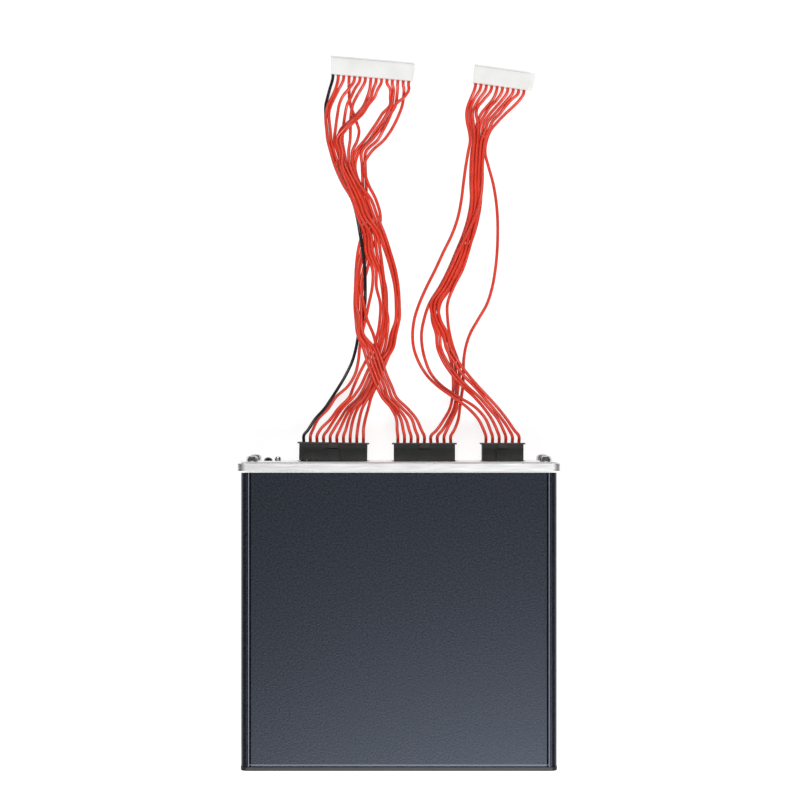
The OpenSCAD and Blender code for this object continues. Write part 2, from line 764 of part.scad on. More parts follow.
routes = [
    // 1, black
    [[-41.4, 14.9], [-38.2, 13], [-33.9, 9.9], [-30.6, 7.4], [-27.5, 4.6], [-24.1, 2.2], [-21.4, 1],
     [-19.8, 0.8], [-18.7, 0.8], [-16.9, 0.8], [-15.7, 0.8], [-15.5, 2.2], [-15.7, 2.4], [-16.6, 2.4],
     [-17.9, 2.3], [-19.3, 0.9], [-21.5, 0.8], [-26.1, 0.8], [-29.6, 0.8], [-31.4, 0.8], [-32.9, 0.8],
     [-33.2, 0.8], [-33.7, 0.8], [-33.9, 0.8], [-33.8, 0.8], [-32.9, 1.4], [-31.9, 2.2]],
    // 2
    [[-39.2, 14], [-36.9, 10.8], [-32.2, 8.2], [-29, 6], [-23.6, 4], [-20.1, 2], [-18.7, 1],
     [-18.1, 0.8], [-17.1, 0.8], [-15.4, 0.8], [-13.9, 0.8], [-12.3, 0.8], [-12.2, 2.1], [-15.2, 2.4],
     [-15.8, 2.3], [-18.8, 2.4], [-21.4, 2.4], [-25.9, 2.4], [-29.5, 2.3], [-31.3, 2.3], [-32.9, 2.3],
     [-33.3, 2.3], [-33.7, 2.3], [-33.5, 2.3], [-32.6, 2], [-30.8, 2.2], [-29.2, 2.4]],
    // 3
    [[-35.9, 14.8], [-31.2, 12.6], [-27.6, 9.4], [-22.8, 7.6], [-20.8, 4], [-18.2, 1.6], [-15.1, 0.8],
     [-11.7, 0.8], [-9.9, 0.8], [-8.8, 0.8], [-8.6, 0.8], [-10.4, 0.8], [-10.6, 1], [-13.6, 2.4],
     [-14.2, 2.3], [-16.6, 2.3], [-19.4, 2.5], [-24.2, 0.8], [-27.9, 0.8], [-29.9, 0.8], [-31.4, 0.8],
     [-31.6, 0.8], [-32.1, 0.8], [-32.3, 0.8], [-31.3, 0.8], [-29.6, 0.9], [-27.8, 1.4]],
    // 4
    [[-32.4, 14.8], [-29.3, 11.6], [-25.9, 8], [-21.1, 6.2], [-17.7, 4.3], [-15, 1.5], [-12.2, 0.8],
     [-9.8, 0.8], [-8.4, 0.8], [-7.2, 0.8], [-7.1, 0.8], [-7.8, 0.8], [-9.2, 2.5], [-12.1, 2.4],
     [-13, 3.6], [-17.4, 3.8], [-20.5, 4], [-23.9, 3.6], [-27.2, 2.3], [-27.3, 2.4], [-28.8, 2.6],
     [-25.8, 4], [-21.7, 4.4], [-17.8, 2.9], [-15.1, 2.4], [-12.9, 1.8], [-11.9, 1.9]],
    // 5
    [[-29.8, 14.8], [-26.8, 12.4], [-23.7, 7.6], [-18.6, 5.7], [-15.8, 3.9], [-13.2, 1.6], [-10.5, 0.8],
     [-8.3, 0.8], [-6.9, 0.8], [-5.8, 0.8], [-5.6, 0.8], [-6.1, 0.8], [-8.4, 0.8], [-10.3, 2.4],
     [-11.2, 2.3], [-14.9, 2.3], [-17.7, 2.3], [-21.6, 2.3], [-26.2, 0.8], [-28.2, 0.8], [-29.9, 0.8],
     [-29.4, 0.8], [-28.9, 0.8], [-28.3, 0.8], [-27.6, 0.8], [-26.1, 1.6], [-23.1, 3.2]],
    // 6
    [[-27, 14.9], [-24.8, 12.6], [-22, 9.2], [-17.1, 7], [-14.1, 4.2], [-11.6, 2.3], [-8.9, 0.8],
     [-6.6, 0.8], [-5.5, 0.8], [-5, 2.1], [-6.3, 2.3], [-6.6, 2.3], [-7.5, 2.3], [-8.6, 2.4],
     [-10.1, 3.8], [-15.7, 3.8], [-18.6, 3.8], [-22.4, 4], [-26.1, 4.1], [-25.9, 3.2], [-27, 2.4],
     [-24.7, 2.4], [-20.5, 3], [-16.6, 1.2], [-14.1, 0.8], [-11.3, 0.9], [-9.7, 2.2]],
    // 7
    [[-24.2, 15], [-22.8, 12.6], [-20.5, 10.2], [-15.9, 8.5], [-13.2, 5.7], [-10.8, 3.8], [-8.1, 2.3],
     [-4.2, 2.4], [-3, 2.3], [-1.4, 2.3], [-1.3, 2.3], [-1.8, 2.3], [-3.3, 2.3], [-5.6, 2.3],
     [-8.3, 3.8], [-13.7, 3.8], [-16.9, 3.9], [-20.8, 4], [-24.7, 2.4], [-26.7, 0.8], [-28.1, 0.9],
     [-27, 2.4], [-22.9, 3.2], [-19, 1.6], [-16.1, 0.8], [-14.7, 0.8], [-13.5, 1.9]],
    // 8
    [[-21.8, 15], [-20.8, 12.6], [-18.8, 8.8], [-15.2, 6.8], [-12.3, 4.2], [-9.9, 2.3], [-7.3, 0.8],
     [-5, 0.8], [-3.7, 0.8], [-1.4, 0.8], [-1.3, 0.8], [-1.9, 0.8], [-3.7, 0.8], [-6.2, 0.8],
     [-9.3, 2.3], [-13.2, 2.3], [-16.1, 2.3], [-19.9, 2.6], [-23.9, 0.8], [-25.2, 0.8], [-26.1, 0.8],
     [-25.8, 0.8], [-25.4, 0.8], [-24.8, 0.8], [-23.8, 2.4], [-22, 2.5], [-20.4, 2.4]],
    // 9
    [[-18.8, 15], [-18, 12.6], [-16.7, 9.9], [-14, 8.4], [-11.4, 5.7], [-9.1, 3.8], [-6.2, 2.3],
     [-2.6, 2.3], [-1.4, 2.3], [0.1, 2.3], [0.2, 2.3], [-0.3, 2.3], [-1.7, 2.3], [-4, 2.3],
     [-6.6, 3.4], [-9.8, 2.3], [-12.8, 3.6], [-18.9, 3.9], [-22.6, 3.6], [-23.2, 2.2], [-22.5, 0.8],
     [-22.4, 0.8], [-22.3, 0.8], [-22, 2.1], [-21.2, 1.9], [-19.7, 1], [-17.5, 1.9]],
    // 10
    [[-16.1, 15], [-15.3, 12.6], [-14, 9.4], [-12.7, 7], [-10.5, 4], [-8.2, 2.2], [-5.6, 0.8],
     [-3.4, 0.8], [-2.2, 0.8], [0.2, 0.8], [0.2, 0.8], [-0.4, 0.8], [-2.1, 0.8], [-4.6, 0.8],
     [-7.7, 2.2], [-11.5, 2.3], [-14.4, 2.3], [-18.2, 2.3], [-21.2, 2.3], [-21.5, 2.3], [-19.1, 0.8],
     [-18.4, 0.8], [-19.6, 0.8], [-21, 0.8], [-22.4, 0.8], [-22.9, 0.8], [-23, 1.3]],
    // 11
    [[-0.8, 15.2], [-1.1, 14], [-3.4, 12], [-7.6, 10], [-10.1, 8.2], [-12.5, 6], [-14.7, 3.9],
     [-16.5, 2.4], [-19, 2.3], [-19.9, 0.8], [-20.4, 0.8], [-20.1, 0.8], [-19.8, 0.8], [-19, 0.8],
     [-17.4, 0.8], [-17.6, 0.8], [-19.7, 0.8], [-20.1, 0.8], [-21.6, 0.8], [-20.3, 0.8], [-15.6, 0.8],
     [-12.8, 0.8], [-10.1, 0.8], [-7.6, 0.8], [-4.1, 0.8], [-4, 0.8], [-4, 1.8]],
    // 12
    [[2, 15.2], [0.9, 14], [-2.1, 11], [-6.2, 9], [-8.4, 7.8], [-10.8, 6], [-13, 4.1],
     [-14.9, 3.2], [-18.2, 3.9], [-18.1, 3.8], [-19.5, 2.3], [-19.3, 2.3], [-19, 2.3], [-17.4, 1.1],
     [-15.9, 0.8], [-16, 0.8], [-18.1, 0.8], [-18.7, 0.8], [-20.2, 0.8], [-18.6, 0.9], [-13.4, 1],
     [-10.9, 0.8], [-7.9, 0.8], [-5.4, 1.6], [-3.2, 2.2], [-2.7, 2], [-2.5, 1.9]],
    // 13
    [[4.7, 15.2], [3.1, 14], [-0.5, 12.4], [-5, 10.8], [-6.7, 8.5], [-9.2, 6], [-11.3, 3.9],
     [-13.3, 2.6], [-17.3, 2.2], [-18.9, 2.3], [-18.9, 0.8], [-18.5, 0.8], [-18.2, 0.8], [-15.7, 0.8],
     [-14.4, 0.8], [-14.4, 0.8], [-16.5, 0.8], [-16.7, 0.8], [-17, 0.8], [-17.2, 2.2], [-12.2, 2.3],
     [-9.1, 1.3], [-6.1, 0.8], [-3.7, 0.8], [-1.5, 0.8], [-1, 0.9], [-0.6, 1.9]],
    // 14
    [[7.5, 15.2], [5.9, 14], [1.5, 12], [-3.2, 10], [-5, 8], [-7.6, 6], [-9.5, 4.1],
     [-11.7, 3.4], [-16.4, 3.8], [-17.3, 2.3], [-17.3, 0.9], [-16.8, 0.8], [-14.6, 0.8], [-12.8, 0.8],
     [-10.1, 0.8], [-8.5, 0.8], [-10.5, 0.8], [-14.4, 2.2], [-16.1, 2.5], [-12.9, 1.8], [-6.7, 0.8],
     [-3.8, 0.8], [-1.6, 0.8], [0.2, 0.8], [1.6, 0.8], [2.1, 0.9], [2.3, 1.6]],
    // 15
    [[10.3, 15.2], [8, 14], [3.9, 12], [-1.2, 10.4], [-3.3, 8.3], [-5.9, 6], [-7.8, 3.9],
     [-10.1, 2.6], [-11.8, 2.3], [-14.7, 2.2], [-16.2, 2.4], [-17.6, 2.3], [-16.4, 0.8], [-14.3, 0.8],
     [-12.9, 0.8], [-12.8, 0.8], [-14.9, 0.8], [-15.1, 0.8], [-15.5, 0.8], [-15.4, 0.8], [-9.7, 0.8],
     [-7.3, 2.4], [-5.2, 2.3], [-3.5, 2.4], [-1.5, 2.4], [2.6, 2.6], [4.6, 2.8]],
    // 16
    [[17, 15.2], [20.5, 13], [23.3, 9.8], [24.5, 6.4], [25, 4], [24.8, 1.8], [24, 0.8],
     [21.9, 0.8], [20.1, 0.8], [16.7, 0.8], [17.3, 0.8], [22.4, 0.8], [26.1, 0.8], [29.7, 0.8],
     [32.9, 0.8], [35, 0.8], [36.2, 0.8], [36.1, 0.8], [36.2, 0.8], [36.4, 0.8], [37.3, 0.8],
     [37, 0.8], [37.8, 0.9], [40, 1], [42, 1.6], [44.9, 1.3]],
    // 17
    [[19.6, 15.2], [22.6, 12.2], [25.1, 9], [26.2, 5.8], [26.4, 3], [26.3, 1.3], [25.6, 0.8],
     [23.5, 0.8], [21.8, 0.8], [18.4, 0.8], [19, 0.8], [24.2, 0.8], [27.9, 0.8], [31.4, 0.8],
     [34.5, 0.8], [36.6, 0.8], [37.8, 0.8], [37.6, 0.8], [37.7, 0.8], [38, 0.8], [38.7, 0.8],
     [38.6, 0.8], [39.4, 0.8], [42.1, 0.8], [44.7, 0.8], [47.4, 1.4]],
    // 18
    [[21.6, 15.2], [24.1, 13.4], [26.3, 10.4], [26.6, 7.5], [27.2, 4.7], [27.9, 2.1], [27.2, 0.8],
     [25.1, 0.8], [23.5, 0.8], [22.5, 0.8], [22.4, 0.8], [25.3, 2], [29.4, 1.2], [32, 2.2],
     [34.1, 2.3], [35.9, 2.3], [36.8, 2.3], [36.6, 2.3], [37, 2.3], [37.4, 2.3], [38.2, 2.2],
     [39.9, 2], [41, 0.8], [44.4, 0.8], [47, 0.8], [49.7, 1.4]],
    // 19
    [[25, 15.2], [27, 12.6], [27.8, 9.6], [28.6, 6.6], [29.4, 3.8], [29.7, 1.5], [29.9, 0.8],
     [30.8, 0.8], [32.7, 0.8], [36.6, 0.8], [40.6, 0.8], [43.1, 0.8], [44.5, 0.8], [45.3, 0.8],
     [45.6, 0.8], [45.5, 0.8], [44.8, 0.8], [43.4, 0.8], [41.2, 0.8], [39.8, 0.8], [40.6, 0.8],
     [42.2, 0.8], [45.4, 0.8], [49.3, 0.8], [52.5, 0.8], [55.5, 1.4]],
    // 20
    [[38.5, 15.3], [36.1, 13.6], [31.6, 11.6], [25, 10.1], [18, 6.9], [12.2, 2.4], [8.8, 1],
     [6.8, 0.8], [6.3, 0.8], [7.1, 0.8], [9.3, 0.8], [12.8, 0.8], [16.8, 0.8], [20.5, 0.8],
     [24.4, 0.8], [27.2, 0.8], [28.8, 0.8], [29.8, 0.8], [30.9, 0.8], [31.9, 0.8], [32.9, 0.8],
     [32.4, 0.8], [31.5, 0.8], [31.2, 0.8], [31.7, 0.8], [32.8, 1]],
    // 21
    [[41.5, 15.3], [39.5, 14], [35.3, 12.2], [27.6, 9.2], [20, 5.8], [14.7, 2.4], [12.2, 1],
     [10.8, 0.8], [10.4, 0.8], [11.6, 0.8], [13.9, 0.8], [18.8, 0.8], [22.9, 0.8], [26.3, 0.8],
     [29.6, 0.8], [32, 0.8], [33.3, 0.8], [33.1, 0.8], [33.2, 0.8], [33.6, 0.8], [34.4, 0.8],
     [33.9, 0.8], [33, 0.8], [32.7, 0.8], [33.2, 0.8], [34.4, 1]],
    // 22
    [[44.5, 15.3], [42.2, 13.8], [38.8, 11.8], [34.6, 9], [29.4, 6.2], [24.1, 3.8], [20.2, 1.8],
     [17.8, 0.8], [17.2, 0.8], [15.3, 0.8], [15.7, 0.8], [20.6, 0.8], [24.6, 0.8], [28, 0.8],
     [31.2, 0.8], [33.5, 0.8], [34.8, 0.8], [34.6, 0.8], [34.7, 0.8], [35, 0.8], [35.8, 0.8],
     [35.6, 0.8], [36.3, 0.8], [38, 0.8], [40.4, 0.8], [43, 1.2]],
    // 23
    [[47.4, 15.3], [45, 13.8], [41, 11.6], [36.7, 10.4], [31.3, 7.4], [26, 4.6], [21.9, 1.9],
     [19.3, 0.8], [18.7, 1.9], [15.9, 2.3], [14.8, 2.3], [19.6, 2.3], [23.8, 2.3], [27.3, 3.3],
     [31.3, 3.8], [34.9, 3.8], [37.4, 3.9], [38.4, 2.6], [38.5, 2.3], [38.9, 2.3], [39.8, 2.3],
     [41.4, 2.2], [43, 1.8], [46.6, 1], [49, 1.8], [51.6, 1.9]],
    // 24
    [[50.1, 15.3], [46.9, 13.4], [43, 11.6], [38.8, 10.2], [34.6, 7.6], [28.9, 5.2], [25.1, 3.5],
     [21.7, 2.4], [20.8, 2.5], [17.3, 2.3], [16.5, 2.3], [21.4, 2.3], [25.5, 2.3], [28.9, 2.3],
     [30.4, 2.3], [32.8, 2.3], [33.8, 2.2], [33.7, 2.3], [34, 2.3], [34.2, 2.3], [34.8, 2.3],
     [34.7, 2.3], [34.2, 2.2], [33.9, 2.2], [34.9, 1.2], [36.6, 1]],
    // 25
    [[52.4, 15.5], [49, 14.6], [45.2, 12.6], [40.8, 10.9], [36.2, 9], [31.2, 6.2], [27, 3.6],
     [23.7, 2.4], [22.4, 2.3], [19, 2.3], [18.2, 2.3], [23.2, 2.3], [27.1, 2.3], [30.5, 2.3],
     [32.1, 2.3], [34.2, 2.3], [35.4, 2.3], [35.2, 2.3], [35.5, 2.3], [35.8, 2.3], [36.3, 2.3],
     [36.5, 2.4], [36.3, 2.4], [35.6, 2], [36.4, 0.8], [38.8, 1]]];

straight_out = 3;
// A longer stretch between two points gets a ring halfway
ring_span = 6.6;

function wire_plug(k) = k < black_first[1] ? 0 : k < black_first[2] ? 1 : 2;
function white_plug_of(k) = white_way[k] < white_first[1] ? 0 : 1;
function stations(k) = white_plug_of(k) == 0 ? left_y : right_y;

function black_end(k, y) =
    let (j = wire_plug(k))
    black_point(j, way_x(black_ways[j], black_pitch, k - black_first[j]), y);

function white_end(k, y) =
    let (j = white_plug_of(k))
    white_point(j, way_x(white_ways[j], white_pitch, white_way[k] - white_first[j]), y);

// From the contact in the black plug to the contact in the white plug
function wire_points(k) =
    let (ys = stations(k), xz = routes[k])
    concat(
        [black_end(k, -wire_in), black_end(k, 0), black_end(k, straight_out)],
        [for (i = [0:len(ys) - 1]) [xz[i][0], ys[i], xz[i][1]]],
        [white_end(k, -straight_out / 2), white_end(k, 0), white_end(k, white_wire_in)]);

function unit(v) = v / norm(v);

// Direction of the route at point i, from its two neighbours
function heading(p, i) =
    i == 0 ? unit(p[1] - p[0]) :
    i == len(p) - 1 ? unit(p[i] - p[i - 1]) :
    let (a = p[i] - p[i - 1], b = p[i + 1] - p[i])
    unit(a * norm(b) / norm(a) + b * norm(a) / norm(b));

// Point on the smooth curve between points i and i + 1, kept on or above the table
function curve_point(p, i, u) =
    let (
        d = norm(p[i + 1] - p[i]),
        q = p[i] * (2 * u ^ 3 - 3 * u ^ 2 + 1) + heading(p, i) * d * (u ^ 3 - 2 * u ^ 2 + u)
            + p[i + 1] * (3 * u ^ 2 - 2 * u ^ 3) + heading(p, i + 1) * d * (u ^ 3 - u ^ 2))
    [q[0], q[1], max(q[2], wire_r)];

function smooth_route(p) = concat(
    [for (i = [0:len(p) - 2])
        for (u = norm(p[i + 1] - p[i]) > ring_span ? [0, 0.5] : [0])
            curve_point(p, i, u)],
    [p[len(p) - 1]]);

function ring(c, t, r) =
    let (side = unit(cross(t, [0, 0, 1])), up = cross(side, t))
    [for (a = [0:45:315]) c + r * (side * cos(a) + up * sin(a))];

module tube(p, r) {
    n = len(p);
    polyhedron(
        points = [for (i = [0:n - 1]) each ring(p[i], heading(p, i), r)],
        faces = concat(
            [[for (s = [0:7]) s]],
            [for (i = [0:n - 2])
                for (s = [0:7])
                    let (a = i * 8 + s, b = i * 8 + (s + 1) % 8)
                    each [[a, a + 8, b], [b, a + 8, b + 8]]],
            [[for (s = [7:-1:0]) (n - 1) * 8 + s]]));
}

module sense_wire(k) {
    color(k == 0 ? "#1a1a1c" : "#d03a2c") tube(smooth_route(wire_points(k)), wire_r);
}

housing_sleeve();
front_plate();
rear_plate();
front_screws();
rear_screws();
circuit_board();
header_left();
header_middle();
header_right();
header_pins();
black_plug_left();
black_plug_middle();
black_plug_right();
black_plug_contacts();
white_plug_left();
white_plug_right();
white_plug_contacts();
microcontroller();
monitor_chips();
isolator_chip();
crystal();
supply_inductor();
filter_capacitors();
balance_transistors();
balance_resistors();
thermal_pad();
insulating_sheet();
status_led();
light_pipe();
ground_screw();
for (k = [0:24])
    sense_wire(k);
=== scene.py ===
"""Dresses the enclosed battery management board: camera, sense wires, materials, light."""

import json
import math

import bpy
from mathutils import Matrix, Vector


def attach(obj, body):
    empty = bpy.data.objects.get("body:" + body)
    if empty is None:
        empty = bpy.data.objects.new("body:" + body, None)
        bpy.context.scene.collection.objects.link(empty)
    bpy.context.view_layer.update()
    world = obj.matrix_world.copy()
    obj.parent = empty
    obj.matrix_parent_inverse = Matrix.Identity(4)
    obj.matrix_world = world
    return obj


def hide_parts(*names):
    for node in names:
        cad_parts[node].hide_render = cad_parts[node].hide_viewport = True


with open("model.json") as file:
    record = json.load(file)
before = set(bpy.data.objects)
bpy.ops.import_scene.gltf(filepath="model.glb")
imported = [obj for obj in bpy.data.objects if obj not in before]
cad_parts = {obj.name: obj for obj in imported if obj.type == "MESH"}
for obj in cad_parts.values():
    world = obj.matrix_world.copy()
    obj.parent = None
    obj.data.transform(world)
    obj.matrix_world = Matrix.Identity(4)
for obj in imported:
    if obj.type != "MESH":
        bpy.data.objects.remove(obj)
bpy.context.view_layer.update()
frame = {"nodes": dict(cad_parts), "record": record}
NODES = frame["nodes"]
MM = 0.001


# ---- Camera: straight above the table, +Y of the row up in the picture ----

CAMERA_AT = (0.49 * MM, 97.8 * MM, 830 * MM)
# Focal length and sensor width in millimetres
CAMERA_LENS = 80.84
CAMERA_SENSOR = 36
CAMERA_NEAR = 10 * MM


def add_camera():
    data = bpy.data.cameras.new("camera")
    data.lens = CAMERA_LENS
    data.sensor_width = CAMERA_SENSOR
    data.clip_start = CAMERA_NEAR
    camera = bpy.data.objects.new("camera", data)
    camera.location = CAMERA_AT
    bpy.context.scene.collection.objects.link(camera)
    bpy.context.scene.camera = camera


# ---- Sense wires, in millimetres as in the part's source ----

WIRE_D = 1.45
WIRE_R = WIRE_D / 2
WIRE_IN = 4
STRAIGHT_OUT = 3
CURVE_STEPS = 6
ROUND_STEPS = 4

BLACK_WAYS = (10, 9, 6)
BLACK_FIRST = (0, 10, 19)
BLACK_X = (-29.8, 11.5, 46.9)
BLACK_PITCH = 3
BLACK_BODY_LEN = 8.1
BLACK_MARGIN = 1.85
SILO_LEN = 7
LEFT_TILT = 0.9
FRONT_FACE_Y = 70.25
PIN_Z = 15.6

WHITE_WAYS = (15, 10)
WHITE_FIRST = (0, 15)
WHITE_AT = ((-12.9, 246.1), (46.5, 242))
WHITE_TURNS = (-4.9, -8)
WHITE_PITCH = 2.5
WHITE_ROW_Z = 2.85
WHITE_WIRE_IN = 2.4

# The routes are lists of (x, z) points, one at each of these distances y from the origin.
LEFT_Y = (
    84, 89, 94, 99, 104, 110, 116, 122, 128, 135, 142, 150, 158, 166,
    174, 182, 190, 198, 206, 212, 218, 222, 226, 230, 234, 237.5, 241)
RIGHT_Y = (
    84, 89, 94, 99, 104, 110, 116, 122, 128, 135, 142, 150, 158, 166,
    174, 182, 190, 198, 206, 212, 218, 222, 226, 230, 233, 236)
